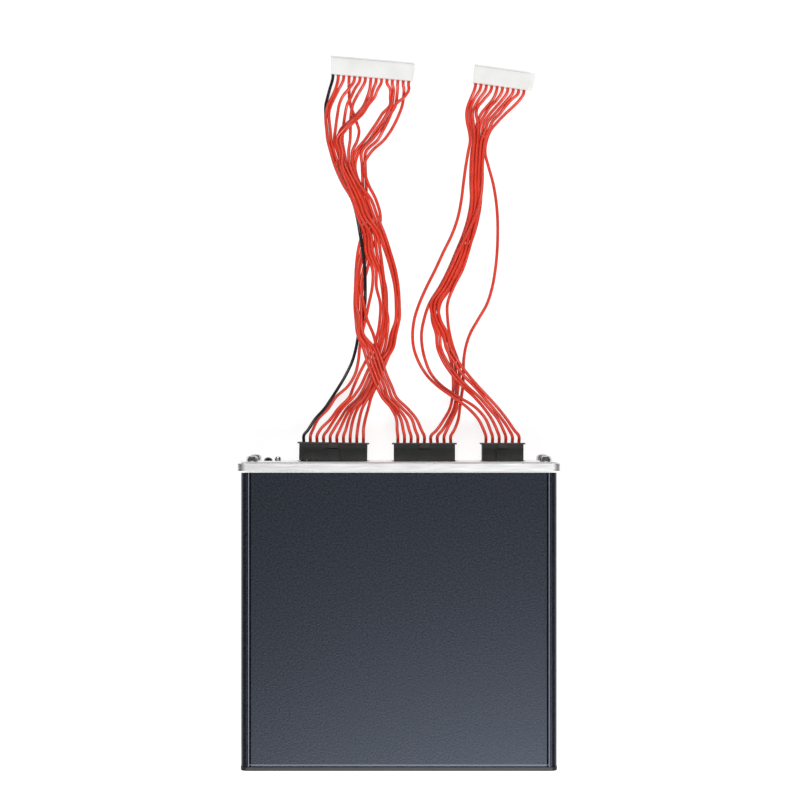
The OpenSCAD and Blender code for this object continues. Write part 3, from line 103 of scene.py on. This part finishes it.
# The way of the white plugs that each wire ends in
WHITE_WAY = (
    0, 1, 2, 8, 4, 9, 7, 5, 6, 3, 10, 11, 12, 13, 14,
    20, 21, 22, 24, 15, 16, 19, 23, 17, 18)
ROUTES = (
    # 1, black
    ((-41.4, 14.9), (-38.2, 13), (-33.9, 9.9), (-30.6, 7.4), (-27.5, 4.6), (-24.1, 2.2), (-21.4, 1),
     (-19.8, 0.8), (-18.7, 0.8), (-16.9, 0.8), (-15.7, 0.8), (-15.5, 2.2), (-15.7, 2.4), (-16.6, 2.4),
     (-17.9, 2.3), (-19.3, 0.9), (-21.5, 0.8), (-26.1, 0.8), (-29.6, 0.8), (-31.4, 0.8), (-32.9, 0.8),
     (-33.2, 0.8), (-33.7, 0.8), (-33.9, 0.8), (-33.8, 0.8), (-32.9, 1.4), (-31.9, 2.2)),
    # 2
    ((-39.2, 14), (-36.9, 10.8), (-32.2, 8.2), (-29, 6), (-23.6, 4), (-20.1, 2), (-18.7, 1),
     (-18.1, 0.8), (-17.1, 0.8), (-15.4, 0.8), (-13.9, 0.8), (-12.3, 0.8), (-12.2, 2.1), (-15.2, 2.4),
     (-15.8, 2.3), (-18.8, 2.4), (-21.4, 2.4), (-25.9, 2.4), (-29.5, 2.3), (-31.3, 2.3), (-32.9, 2.3),
     (-33.3, 2.3), (-33.7, 2.3), (-33.5, 2.3), (-32.6, 2), (-30.8, 2.2), (-29.2, 2.4)),
    # 3
    ((-35.9, 14.8), (-31.2, 12.6), (-27.6, 9.4), (-22.8, 7.6), (-20.8, 4), (-18.2, 1.6), (-15.1, 0.8),
     (-11.7, 0.8), (-9.9, 0.8), (-8.8, 0.8), (-8.6, 0.8), (-10.4, 0.8), (-10.6, 1), (-13.6, 2.4),
     (-14.2, 2.3), (-16.6, 2.3), (-19.4, 2.5), (-24.2, 0.8), (-27.9, 0.8), (-29.9, 0.8), (-31.4, 0.8),
     (-31.6, 0.8), (-32.1, 0.8), (-32.3, 0.8), (-31.3, 0.8), (-29.6, 0.9), (-27.8, 1.4)),
    # 4
    ((-32.4, 14.8), (-29.3, 11.6), (-25.9, 8), (-21.1, 6.2), (-17.7, 4.3), (-15, 1.5), (-12.2, 0.8),
     (-9.8, 0.8), (-8.4, 0.8), (-7.2, 0.8), (-7.1, 0.8), (-7.8, 0.8), (-9.2, 2.5), (-12.1, 2.4),
     (-13, 3.6), (-17.4, 3.8), (-20.5, 4), (-23.9, 3.6), (-27.2, 2.3), (-27.3, 2.4), (-28.8, 2.6),
     (-25.8, 4), (-21.7, 4.4), (-17.8, 2.9), (-15.1, 2.4), (-12.9, 1.8), (-11.9, 1.9)),
    # 5
    ((-29.8, 14.8), (-26.8, 12.4), (-23.7, 7.6), (-18.6, 5.7), (-15.8, 3.9), (-13.2, 1.6), (-10.5, 0.8),
     (-8.3, 0.8), (-6.9, 0.8), (-5.8, 0.8), (-5.6, 0.8), (-6.1, 0.8), (-8.4, 0.8), (-10.3, 2.4),
     (-11.2, 2.3), (-14.9, 2.3), (-17.7, 2.3), (-21.6, 2.3), (-26.2, 0.8), (-28.2, 0.8), (-29.9, 0.8),
     (-29.4, 0.8), (-28.9, 0.8), (-28.3, 0.8), (-27.6, 0.8), (-26.1, 1.6), (-23.1, 3.2)),
    # 6
    ((-27, 14.9), (-24.8, 12.6), (-22, 9.2), (-17.1, 7), (-14.1, 4.2), (-11.6, 2.3), (-8.9, 0.8),
     (-6.6, 0.8), (-5.5, 0.8), (-5, 2.1), (-6.3, 2.3), (-6.6, 2.3), (-7.5, 2.3), (-8.6, 2.4),
     (-10.1, 3.8), (-15.7, 3.8), (-18.6, 3.8), (-22.4, 4), (-26.1, 4.1), (-25.9, 3.2), (-27, 2.4),
     (-24.7, 2.4), (-20.5, 3), (-16.6, 1.2), (-14.1, 0.8), (-11.3, 0.9), (-9.7, 2.2)),
    # 7
    ((-24.2, 15), (-22.8, 12.6), (-20.5, 10.2), (-15.9, 8.5), (-13.2, 5.7), (-10.8, 3.8), (-8.1, 2.3),
     (-4.2, 2.4), (-3, 2.3), (-1.4, 2.3), (-1.3, 2.3), (-1.8, 2.3), (-3.3, 2.3), (-5.6, 2.3),
     (-8.3, 3.8), (-13.7, 3.8), (-16.9, 3.9), (-20.8, 4), (-24.7, 2.4), (-26.7, 0.8), (-28.1, 0.9),
     (-27, 2.4), (-22.9, 3.2), (-19, 1.6), (-16.1, 0.8), (-14.7, 0.8), (-13.5, 1.9)),
    # 8
    ((-21.8, 15), (-20.8, 12.6), (-18.8, 8.8), (-15.2, 6.8), (-12.3, 4.2), (-9.9, 2.3), (-7.3, 0.8),
     (-5, 0.8), (-3.7, 0.8), (-1.4, 0.8), (-1.3, 0.8), (-1.9, 0.8), (-3.7, 0.8), (-6.2, 0.8),
     (-9.3, 2.3), (-13.2, 2.3), (-16.1, 2.3), (-19.9, 2.6), (-23.9, 0.8), (-25.2, 0.8), (-26.1, 0.8),
     (-25.8, 0.8), (-25.4, 0.8), (-24.8, 0.8), (-23.8, 2.4), (-22, 2.5), (-20.4, 2.4)),
    # 9
    ((-18.8, 15), (-18, 12.6), (-16.7, 9.9), (-14, 8.4), (-11.4, 5.7), (-9.1, 3.8), (-6.2, 2.3),
     (-2.6, 2.3), (-1.4, 2.3), (0.1, 2.3), (0.2, 2.3), (-0.3, 2.3), (-1.7, 2.3), (-4, 2.3),
     (-6.6, 3.4), (-9.8, 2.3), (-12.8, 3.6), (-18.9, 3.9), (-22.6, 3.6), (-23.2, 2.2), (-22.5, 0.8),
     (-22.4, 0.8), (-22.3, 0.8), (-22, 2.1), (-21.2, 1.9), (-19.7, 1), (-17.5, 1.9)),
    # 10
    ((-16.1, 15), (-15.3, 12.6), (-14, 9.4), (-12.7, 7), (-10.5, 4), (-8.2, 2.2), (-5.6, 0.8),
     (-3.4, 0.8), (-2.2, 0.8), (0.2, 0.8), (0.2, 0.8), (-0.4, 0.8), (-2.1, 0.8), (-4.6, 0.8),
     (-7.7, 2.2), (-11.5, 2.3), (-14.4, 2.3), (-18.2, 2.3), (-21.2, 2.3), (-21.5, 2.3), (-19.1, 0.8),
     (-18.4, 0.8), (-19.6, 0.8), (-21, 0.8), (-22.4, 0.8), (-22.9, 0.8), (-23, 1.3)),
    # 11
    ((-0.8, 15.2), (-1.1, 14), (-3.4, 12), (-7.6, 10), (-10.1, 8.2), (-12.5, 6), (-14.7, 3.9),
     (-16.5, 2.4), (-19, 2.3), (-19.9, 0.8), (-20.4, 0.8), (-20.1, 0.8), (-19.8, 0.8), (-19, 0.8),
     (-17.4, 0.8), (-17.6, 0.8), (-19.7, 0.8), (-20.1, 0.8), (-21.6, 0.8), (-20.3, 0.8), (-15.6, 0.8),
     (-12.8, 0.8), (-10.1, 0.8), (-7.6, 0.8), (-4.1, 0.8), (-4, 0.8), (-4, 1.8)),
    # 12
    ((2, 15.2), (0.9, 14), (-2.1, 11), (-6.2, 9), (-8.4, 7.8), (-10.8, 6), (-13, 4.1),
     (-14.9, 3.2), (-18.2, 3.9), (-18.1, 3.8), (-19.5, 2.3), (-19.3, 2.3), (-19, 2.3), (-17.4, 1.1),
     (-15.9, 0.8), (-16, 0.8), (-18.1, 0.8), (-18.7, 0.8), (-20.2, 0.8), (-18.6, 0.9), (-13.4, 1),
     (-10.9, 0.8), (-7.9, 0.8), (-5.4, 1.6), (-3.2, 2.2), (-2.7, 2), (-2.5, 1.9)),
    # 13
    ((4.7, 15.2), (3.1, 14), (-0.5, 12.4), (-5, 10.8), (-6.7, 8.5), (-9.2, 6), (-11.3, 3.9),
     (-13.3, 2.6), (-17.3, 2.2), (-18.9, 2.3), (-18.9, 0.8), (-18.5, 0.8), (-18.2, 0.8), (-15.7, 0.8),
     (-14.4, 0.8), (-14.4, 0.8), (-16.5, 0.8), (-16.7, 0.8), (-17, 0.8), (-17.2, 2.2), (-12.2, 2.3),
     (-9.1, 1.3), (-6.1, 0.8), (-3.7, 0.8), (-1.5, 0.8), (-1, 0.9), (-0.6, 1.9)),
    # 14
    ((7.5, 15.2), (5.9, 14), (1.5, 12), (-3.2, 10), (-5, 8), (-7.6, 6), (-9.5, 4.1),
     (-11.7, 3.4), (-16.4, 3.8), (-17.3, 2.3), (-17.3, 0.9), (-16.8, 0.8), (-14.6, 0.8), (-12.8, 0.8),
     (-10.1, 0.8), (-8.5, 0.8), (-10.5, 0.8), (-14.4, 2.2), (-16.1, 2.5), (-12.9, 1.8), (-6.7, 0.8),
     (-3.8, 0.8), (-1.6, 0.8), (0.2, 0.8), (1.6, 0.8), (2.1, 0.9), (2.3, 1.6)),
    # 15
    ((10.3, 15.2), (8, 14), (3.9, 12), (-1.2, 10.4), (-3.3, 8.3), (-5.9, 6), (-7.8, 3.9),
     (-10.1, 2.6), (-11.8, 2.3), (-14.7, 2.2), (-16.2, 2.4), (-17.6, 2.3), (-16.4, 0.8), (-14.3, 0.8),
     (-12.9, 0.8), (-12.8, 0.8), (-14.9, 0.8), (-15.1, 0.8), (-15.5, 0.8), (-15.4, 0.8), (-9.7, 0.8),
     (-7.3, 2.4), (-5.2, 2.3), (-3.5, 2.4), (-1.5, 2.4), (2.6, 2.6), (4.6, 2.8)),
    # 16
    ((17, 15.2), (20.5, 13), (23.3, 9.8), (24.5, 6.4), (25, 4), (24.8, 1.8), (24, 0.8),
     (21.9, 0.8), (20.1, 0.8), (16.7, 0.8), (17.3, 0.8), (22.4, 0.8), (26.1, 0.8), (29.7, 0.8),
     (32.9, 0.8), (35, 0.8), (36.2, 0.8), (36.1, 0.8), (36.2, 0.8), (36.4, 0.8), (37.3, 0.8),
     (37, 0.8), (37.8, 0.9), (40, 1), (42, 1.6), (44.9, 1.3)),
    # 17
    ((19.6, 15.2), (22.6, 12.2), (25.1, 9), (26.2, 5.8), (26.4, 3), (26.3, 1.3), (25.6, 0.8),
     (23.5, 0.8), (21.8, 0.8), (18.4, 0.8), (19, 0.8), (24.2, 0.8), (27.9, 0.8), (31.4, 0.8),
     (34.5, 0.8), (36.6, 0.8), (37.8, 0.8), (37.6, 0.8), (37.7, 0.8), (38, 0.8), (38.7, 0.8),
     (38.6, 0.8), (39.4, 0.8), (42.1, 0.8), (44.7, 0.8), (47.4, 1.4)),
    # 18
    ((21.6, 15.2), (24.1, 13.4), (26.3, 10.4), (26.6, 7.5), (27.2, 4.7), (27.9, 2.1), (27.2, 0.8),
     (25.1, 0.8), (23.5, 0.8), (22.5, 0.8), (22.4, 0.8), (25.3, 2), (29.4, 1.2), (32, 2.2),
     (34.1, 2.3), (35.9, 2.3), (36.8, 2.3), (36.6, 2.3), (37, 2.3), (37.4, 2.3), (38.2, 2.2),
     (39.9, 2), (41, 0.8), (44.4, 0.8), (47, 0.8), (49.7, 1.4)),
    # 19
    ((25, 15.2), (27, 12.6), (27.8, 9.6), (28.6, 6.6), (29.4, 3.8), (29.7, 1.5), (29.9, 0.8),
     (30.8, 0.8), (32.7, 0.8), (36.6, 0.8), (40.6, 0.8), (43.1, 0.8), (44.5, 0.8), (45.3, 0.8),
     (45.6, 0.8), (45.5, 0.8), (44.8, 0.8), (43.4, 0.8), (41.2, 0.8), (39.8, 0.8), (40.6, 0.8),
     (42.2, 0.8), (45.4, 0.8), (49.3, 0.8), (52.5, 0.8), (55.5, 1.4)),
    # 20
    ((38.5, 15.3), (36.1, 13.6), (31.6, 11.6), (25, 10.1), (18, 6.9), (12.2, 2.4), (8.8, 1),
     (6.8, 0.8), (6.3, 0.8), (7.1, 0.8), (9.3, 0.8), (12.8, 0.8), (16.8, 0.8), (20.5, 0.8),
     (24.4, 0.8), (27.2, 0.8), (28.8, 0.8), (29.8, 0.8), (30.9, 0.8), (31.9, 0.8), (32.9, 0.8),
     (32.4, 0.8), (31.5, 0.8), (31.2, 0.8), (31.7, 0.8), (32.8, 1)),
    # 21
    ((41.5, 15.3), (39.5, 14), (35.3, 12.2), (27.6, 9.2), (20, 5.8), (14.7, 2.4), (12.2, 1),
     (10.8, 0.8), (10.4, 0.8), (11.6, 0.8), (13.9, 0.8), (18.8, 0.8), (22.9, 0.8), (26.3, 0.8),
     (29.6, 0.8), (32, 0.8), (33.3, 0.8), (33.1, 0.8), (33.2, 0.8), (33.6, 0.8), (34.4, 0.8),
     (33.9, 0.8), (33, 0.8), (32.7, 0.8), (33.2, 0.8), (34.4, 1)),
    # 22
    ((44.5, 15.3), (42.2, 13.8), (38.8, 11.8), (34.6, 9), (29.4, 6.2), (24.1, 3.8), (20.2, 1.8),
     (17.8, 0.8), (17.2, 0.8), (15.3, 0.8), (15.7, 0.8), (20.6, 0.8), (24.6, 0.8), (28, 0.8),
     (31.2, 0.8), (33.5, 0.8), (34.8, 0.8), (34.6, 0.8), (34.7, 0.8), (35, 0.8), (35.8, 0.8),
     (35.6, 0.8), (36.3, 0.8), (38, 0.8), (40.4, 0.8), (43, 1.2)),
    # 23
    ((47.4, 15.3), (45, 13.8), (41, 11.6), (36.7, 10.4), (31.3, 7.4), (26, 4.6), (21.9, 1.9),
     (19.3, 0.8), (18.7, 1.9), (15.9, 2.3), (14.8, 2.3), (19.6, 2.3), (23.8, 2.3), (27.3, 3.3),
     (31.3, 3.8), (34.9, 3.8), (37.4, 3.9), (38.4, 2.6), (38.5, 2.3), (38.9, 2.3), (39.8, 2.3),
     (41.4, 2.2), (43, 1.8), (46.6, 1), (49, 1.8), (51.6, 1.9)),
    # 24
    ((50.1, 15.3), (46.9, 13.4), (43, 11.6), (38.8, 10.2), (34.6, 7.6), (28.9, 5.2), (25.1, 3.5),
     (21.7, 2.4), (20.8, 2.5), (17.3, 2.3), (16.5, 2.3), (21.4, 2.3), (25.5, 2.3), (28.9, 2.3),
     (30.4, 2.3), (32.8, 2.3), (33.8, 2.2), (33.7, 2.3), (34, 2.3), (34.2, 2.3), (34.8, 2.3),
     (34.7, 2.3), (34.2, 2.2), (33.9, 2.2), (34.9, 1.2), (36.6, 1)),
    # 25
    ((52.4, 15.5), (49, 14.6), (45.2, 12.6), (40.8, 10.9), (36.2, 9), (31.2, 6.2), (27, 3.6),
     (23.7, 2.4), (22.4, 2.3), (19, 2.3), (18.2, 2.3), (23.2, 2.3), (27.1, 2.3), (30.5, 2.3),
     (32.1, 2.3), (34.2, 2.3), (35.4, 2.3), (35.2, 2.3), (35.5, 2.3), (35.8, 2.3), (36.3, 2.3),
     (36.5, 2.4), (36.3, 2.4), (35.6, 2), (36.4, 0.8), (38.8, 1)))


def way_x(ways, pitch, way):
    return (way - (ways - 1) / 2) * pitch


def black_point(plug, x, y):
    """A point of a black plug in the row frame; y runs out of its wire side."""
    tilt = math.radians(-LEFT_TILT if plug == 0 else 0)
    width = (BLACK_WAYS[plug] - 1) * BLACK_PITCH + 2 * BLACK_MARGIN
    pivot_y = FRONT_FACE_Y - SILO_LEN / 2 + width / 2 * math.sin(abs(tilt))
    reach = y + BLACK_BODY_LEN + SILO_LEN / 2
    return Vector((
        BLACK_X[plug] + x * math.cos(tilt) - reach * math.sin(tilt),
        pivot_y + x * math.sin(tilt) + reach * math.cos(tilt),
        PIN_Z,
    ))


def white_point(plug, x, y):
    """A point of a white plug in the row frame; y runs towards its mating side."""
    turn = math.radians(WHITE_TURNS[plug])
    return Vector((
        WHITE_AT[plug][0] + x * math.cos(turn) - y * math.sin(turn),
        WHITE_AT[plug][1] + x * math.sin(turn) + y * math.cos(turn),
        WHITE_ROW_Z,
    ))


def black_end(wire, y):
    plug = sum(wire >= first for first in BLACK_FIRST[1:])
    x = way_x(BLACK_WAYS[plug], BLACK_PITCH, wire - BLACK_FIRST[plug])
    return black_point(plug, x, y)


def white_plug_of(wire):
    return int(WHITE_WAY[wire] >= WHITE_FIRST[1])


def white_end(wire, y):
    plug = white_plug_of(wire)
    x = way_x(WHITE_WAYS[plug], WHITE_PITCH, WHITE_WAY[wire] - WHITE_FIRST[plug])
    return white_point(plug, x, y)


def wire_points(wire):
    """The points that a wire passes through, from inside its black plug to inside its white one."""
    stations = RIGHT_Y if white_plug_of(wire) else LEFT_Y
    return [
        black_end(wire, -WIRE_IN),
        black_end(wire, 0),
        black_end(wire, STRAIGHT_OUT),
        *(Vector((x, y, z)) for (x, z), y in zip(ROUTES[wire], stations)),
        white_end(wire, -STRAIGHT_OUT / 2),
        white_end(wire, 0),
        white_end(wire, WHITE_WIRE_IN),
    ]


def heading(points, i):
    """Unit direction of the curve at point i; the nearer neighbour counts for more."""
    if i == 0:
        return (points[1] - points[0]).normalized()
    before = points[i] - points[i - 1]
    if i == len(points) - 1:
        return before.normalized()
    after = points[i + 1] - points[i]
    a, b = before.length, after.length
    return (before * (b / a) + after * (a / b)).normalized()


def smooth_route(points):
    """The same curve as the part's source draws, in finer steps, kept on or above the table."""
    route = []
    for i in range(len(points) - 1):
        start, end = points[i], points[i + 1]
        span = (end - start).length
        leave, arrive = heading(points, i) * span, heading(points, i + 1) * span
        for step in range(CURVE_STEPS):
            u = step / CURVE_STEPS
            q = (start * (2 * u**3 - 3 * u**2 + 1) + leave * (u**3 - 2 * u**2 + u)
                 + end * (3 * u**2 - 2 * u**3) + arrive * (u**3 - u**2))
            q.z = max(q.z, WIRE_R)
            route.append(q)
    route.append(points[-1])
    return route


def add_wire(wire, material):
    name = f"sense_wire_{wire + 1:02d}"
    data = bpy.data.curves.new(name + "_sheath", "CURVE")
    data.dimensions = "3D"
    data.bevel_depth = WIRE_R * MM
    data.bevel_resolution = ROUND_STEPS
    data.use_fill_caps = True
    route = smooth_route(wire_points(wire))
    spline = data.splines.new("POLY")
    spline.points.add(len(route) - 1)
    for point, at in zip(spline.points, route):
        point.co = (at.x * MM, at.y * MM, at.z * MM, 1)
    spline.use_smooth = True
    sheath = bpy.data.objects.new(name + "_sheath", data)
    bpy.context.scene.collection.objects.link(sheath)
    data.materials.append(material)
    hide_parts(name)
    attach(sheath, "root")


# ---- Materials ----


def srgb(hex_code):
    """Linear colour from an sRGB hex code."""
    channels = [int(hex_code[i:i + 2], 16) / 255 for i in (1, 3, 5)]
    linear = [c / 12.92 if c <= 0.04045 else ((c + 0.055) / 1.055) ** 2.4 for c in channels]
    return (*linear, 1)


# Where the noise value reaches the dark and the light shade of a mottled colour
MOTTLE_SPAN = (0.3, 0.7)


class Surface:
    """A material with its Principled shader, and a short way to add and link nodes."""

    def __init__(self, name, colour, roughness, metallic=0.0, **sockets):
        self.material = bpy.data.materials.new(name)
        self.material.use_nodes = True
        self.tree = self.material.node_tree
        self.shader = self.tree.nodes["Principled BSDF"]
        self.shader.inputs["Base Color"].default_value = srgb(colour)
        self.shader.inputs["Roughness"].default_value = roughness
        self.shader.inputs["Metallic"].default_value = metallic
        for socket, value in sockets.items():
            self.shader.inputs[socket.replace("_", " ")].default_value = value
        self.material.diffuse_color = srgb(colour)

    def node(self, kind, inputs=None, **settings):
        node = self.tree.nodes.new(kind)
        for key, value in settings.items():
            setattr(node, key, value)
        for socket, value in (inputs or {}).items():
            if isinstance(value, bpy.types.NodeSocket):
                self.tree.links.new(value, node.inputs[socket])
            else:
                node.inputs[socket].default_value = value
        return node

    def link(self, output, socket):
        self.tree.links.new(output, self.shader.inputs[socket])

    def position(self):
        return self.node("ShaderNodeTexCoord").outputs["Object"]

    def noise(self, scale, detail=2.0, vector=None):
        return self.node("ShaderNodeTexNoise", {
            "Vector": vector or self.position(), "Scale": scale, "Detail": detail,
        }).outputs["Fac"]

    def remap(self, value, low, high):
        return self.node("ShaderNodeMapRange", {
            "Value": value, "To Min": low, "To Max": high,
        }).outputs["Result"]

    def near(self, value, centre, half_width):
        """1 where value lies within half_width of centre, both in millimetres, and 0 elsewhere."""
        return self.node("ShaderNodeMath", {
            0: value, 1: centre * MM, 2: half_width * MM,
        }, operation="COMPARE").outputs["Value"]

    def mottle(self, value, dark, light):
        """A colour that drifts between two near shades."""
        ramp = self.node("ShaderNodeValToRGB", {"Fac": value})
        for stop, position, shade in zip(ramp.color_ramp.elements, MOTTLE_SPAN, (dark, light)):
            stop.position, stop.color = position, srgb(shade)
        return ramp.outputs["Color"]

    def bump(self, height, strength, distance):
        self.link(self.node("ShaderNodeBump", {
            "Height": height, "Strength": strength, "Distance": distance,
        }).outputs["Normal"], "Normal")


# Painted highlights, in millimetres: a lighter grey painted into the sleeve's colour where light
# catches the ridge between the sleeve's two grooves, measured from the middle, and the sleeve's rear
# edge between the ridges
RIDGE_X, RIDGE_HALF = 66.95, 0.2
REAR_EDGE_Y, REAR_EDGE_HALF = -64.8, 0.22


def black_anodised():
    # Bead-blasted aluminium, dyed blue-black: a fine grain that sparkles a little
    s = Surface("black_anodised_aluminium", "#0b0d12", 0.36, Specular_IOR_Level=0.6)
    s.shader.inputs["Specular Tint"].default_value = srgb("#d0dcf4")
    grain = s.noise(1300, 2)
    speckle = s.mottle(s.noise(1100, 1), "#000103", "#191c23")
    place = s.node("ShaderNodeSeparateXYZ", {"Vector": s.position()}).outputs
    side = s.node("ShaderNodeMath", {0: place["X"]}, operation="ABSOLUTE").outputs["Value"]
    # Painted highlight: the ridge and the rear edge are painted a lighter grey in place of the light
    # that they catch
    ridge = s.near(side, RIDGE_X, RIDGE_HALF)
    rear_edge = s.node("ShaderNodeMath", {
        0: s.near(place["Y"], REAR_EDGE_Y, REAR_EDGE_HALF), 1: s.near(side, 0, RIDGE_X),
    }, operation="MULTIPLY").outputs["Value"]
    painted_highlight_mask = s.node("ShaderNodeMath", {0: ridge, 1: rear_edge}, operation="MAXIMUM")
    wear_and_painted_highlight = s.node("ShaderNodeMixRGB", {
        "Fac": painted_highlight_mask.outputs["Value"], "Color1": speckle, "Color2": srgb("#686b73"),
    }).outputs["Color"]
    s.link(wear_and_painted_highlight, "Base Color")
    s.link(s.remap(grain, 0.25, 0.45), "Roughness")
    s.bump(grain, 0.6, 0.06 * MM)
    return s.material


def silver_anodised():
    # Clear anodised aluminium plate, finely brushed along its length
    s = Surface("silver_anodised_aluminium", "#f2f3f2", 0.34, metallic=1.0)
    stretch = s.node("ShaderNodeMapping", {"Vector": s.position(), "Scale": (90, 2600, 2600)})
    brushed = s.noise(1, 3, stretch.outputs["Vector"])
    s.link(s.mottle(brushed, "#eeefef", "#f7f7f6"), "Base Color")
    s.link(s.remap(brushed, 0.31, 0.45), "Roughness")
    s.bump(brushed, 0.12, 0.03 * MM)
    return s.material


def moulded(name, colour, dark, light, roughness, grain):
    # Moulded plastic, a coat or wire insulation: a fine skin and a slight drift of shade
    s = Surface(name, colour, roughness)
    scale, distance = grain
    skin = s.noise(scale, 2)
    s.link(s.mottle(s.noise(scale / 6, 3), dark, light), "Base Color")
    s.link(s.remap(skin, roughness - 0.05, roughness + 0.07), "Roughness")
    s.bump(skin, 0.3, distance * MM)
    return s.material


def plated(name, colour, low, high, scale=500):
    # Plated or oxidised metal: polish that varies over the face
    s = Surface(name, colour, (low + high) / 2, metallic=1.0)
    wear_and_painted_highlight = s.noise(scale, 3)
    s.link(s.remap(wear_and_painted_highlight, low, high), "Roughness")
    s.bump(wear_and_painted_highlight, 0.15, 0.02 * MM)
    return s.material


def plain(name, colour, roughness, grain=None, **sockets):
    # One even colour; grain is the scale and the depth in millimetres of its skin
    s = Surface(name, colour, roughness, **sockets)
    if grain:
        scale, distance = grain
        s.bump(s.noise(scale, 2), 0.3, distance * MM)
    return s.material


def make_materials():
    """One material for each slot in the record."""
    return {
        "black_anodised": black_anodised(),
        "silver_anodised": silver_anodised(),
        "black_plate": moulded(
            "black_coated_steel", "#0b0c0f", "#06070a", "#121317", 0.5, (1300, 0.04)),
        "screw_steel": plated("nickel_plated_steel", "#c6c7ca", 0.14, 0.3),
        "black_screw": plated("black_oxide_steel", "#1e1f22", 0.3, 0.5),
        "solder_mask": plain("green_solder_mask", "#0d4423", 0.35, grain=(300, 0.03)),
        "black_nylon": moulded(
            "black_moulded_nylon", "#272726", "#212120", "#2d2d2c", 0.42, (1100, 0.05)),
        "tinned_brass": plated("tin_plated_brass", "#c9c3b2", 0.22, 0.38, 900),
        "white_nylon": moulded(
            "natural_white_nylon", "#d2d2d0", "#ccccca", "#d8d8d6", 0.42, (600, 0.03)),
        "chip_epoxy": plain("black_moulding_epoxy", "#1e1f21", 0.5, grain=(2000, 0.02)),
        "crystal_can": plated("nickel_plated_can", "#c0c2c4", 0.2, 0.35),
        "ferrite": plain("ground_ferrite", "#3a3a3a", 0.6, grain=(1500, 0.04)),
        "capacitor_sleeve": plain("blue_shrink_sleeve", "#141a36", 0.35, grain=(200, 0.03)),
        "thermal_rubber": plain("grey_silicone_pad", "#8296a8", 0.7, grain=(900, 0.05)),
        "clear_sheet": plain("polyester_sheet", "#d8d0b4", 0.35, grain=(400, 0.01)),
        "led_epoxy": plain("diffused_epoxy", "#dfe8dc", 0.3),
        "smoked_lens": plain("smoked_acrylic", "#1a0f10", 0.08, Coat_Weight=0.6),
        "red_pvc": moulded(
            "red_pvc_insulation", "#c8331f", "#bf2c1a", "#d03a26", 0.32, (700, 0.03)),
        "black_pvc": moulded(
            "black_pvc_insulation", "#121214", "#0c0c0e", "#18181a", 0.24, (700, 0.02)),
    }


EDGE_BREAKS = {
    # node: how far its sharp edges are broken, in millimetres
    "housing_sleeve": 0.2,
    "rear_plate": 0.12,
    "black_plug_left": 0.1,
    "black_plug_middle": 0.1,
    "black_plug_right": 0.1,
    "white_plug_left": 0.12,
    "white_plug_right": 0.12,
}


SHARP_ANGLE = math.radians(35)


def break_edges():
    for name, width in EDGE_BREAKS.items():
        bevel = NODES[name].modifiers.new("edge_break", "BEVEL")
        bevel.width = width * MM
        bevel.segments = 2
        bevel.limit_method = "ANGLE"
        bevel.angle_limit = SHARP_ANGLE
        bevel.use_clamp_overlap = True
        bevel.harden_normals = True


def dress_cad_nodes(materials):
    """Gives every CAD node that shows the finish its slot in the record names."""
    for part in frame["record"]["subparts"]:
        for slot in NODES[part["node"]].material_slots:
            slot.material = materials[part["material_slot"]]


# ---- Table and light ----

WHITE = (1.0, 1.0, 1.0, 1.0)
TABLE_SIZE = 6.0
TABLE_GLOW = 0.8
SOFTBOXES = (
    # name, place, size along X and Y, power
    ("softbox_behind", (0.15, -0.7, 1.2), (0.8, 0.44), 21.0),
    ("softbox_beyond", (0.0, 0.85, 1.2), (1.2, 0.5), 10.0),
)
LIGHT_AIM = Vector((0.0, 0.05, 0.0))
# The room is dim, apart from a bright wall low behind the housing
WALL_WAY = (0.0, -1.0, 0.0)
WALL_FROM = 0.4
ROOM_DIM, WALL_BRIGHT = 0.08, 1.3


def add_table():
    mesh = bpy.data.meshes.new("table")
    half = TABLE_SIZE / 2
    corners = [(-half, -half, 0), (half, -half, 0), (half, half, 0), (-half, half, 0)]
    mesh.from_pydata(corners, [], [(0, 1, 2, 3)])
    table = bpy.data.objects.new("table", mesh)
    bpy.context.scene.collection.objects.link(table)
    mesh.materials.append(plain(
        "white_light_table", "#9c9c9c", 0.9, Emission_Color=WHITE, Emission_Strength=TABLE_GLOW))


def add_room():
    world = bpy.data.worlds.new("studio")
    world.use_nodes = True
    nodes, links = world.node_tree.nodes, world.node_tree.links
    nodes["Background"].inputs["Color"].default_value = WHITE
    lean = nodes.new("ShaderNodeVectorMath")
    lean.operation = "DOT_PRODUCT"
    lean.inputs[1].default_value = WALL_WAY
    fade = nodes.new("ShaderNodeMapRange")
    for socket, value in (
        ("From Min", WALL_FROM), ("From Max", 1),
        ("To Min", ROOM_DIM), ("To Max", WALL_BRIGHT),
    ):
        fade.inputs[socket].default_value = value
    links.new(nodes.new("ShaderNodeTexCoord").outputs["Generated"], lean.inputs[0])
    links.new(lean.outputs["Value"], fade.inputs["Value"])
    links.new(fade.outputs["Result"], nodes["Background"].inputs["Strength"])
    bpy.context.scene.world = world


def add_softboxes():
    for name, at, (width, depth), power in SOFTBOXES:
        data = bpy.data.lights.new(name, "AREA")
        data.shape = "RECTANGLE"
        data.size, data.size_y = width, depth
        data.energy = power
        light = bpy.data.objects.new(name, data)
        light.location = at
        light.rotation_euler = (LIGHT_AIM - Vector(at)).to_track_quat("-Z", "Y").to_euler()
        bpy.context.scene.collection.objects.link(light)


def main():
    add_camera()
    materials = make_materials()
    dress_cad_nodes(materials)
    break_edges()
    for wire in range(len(ROUTES)):
        add_wire(wire, materials["black_pvc" if wire == 0 else "red_pvc"])
    add_table()
    add_room()
    add_softboxes()
    bpy.context.scene.view_settings.view_transform = "Standard"


main()
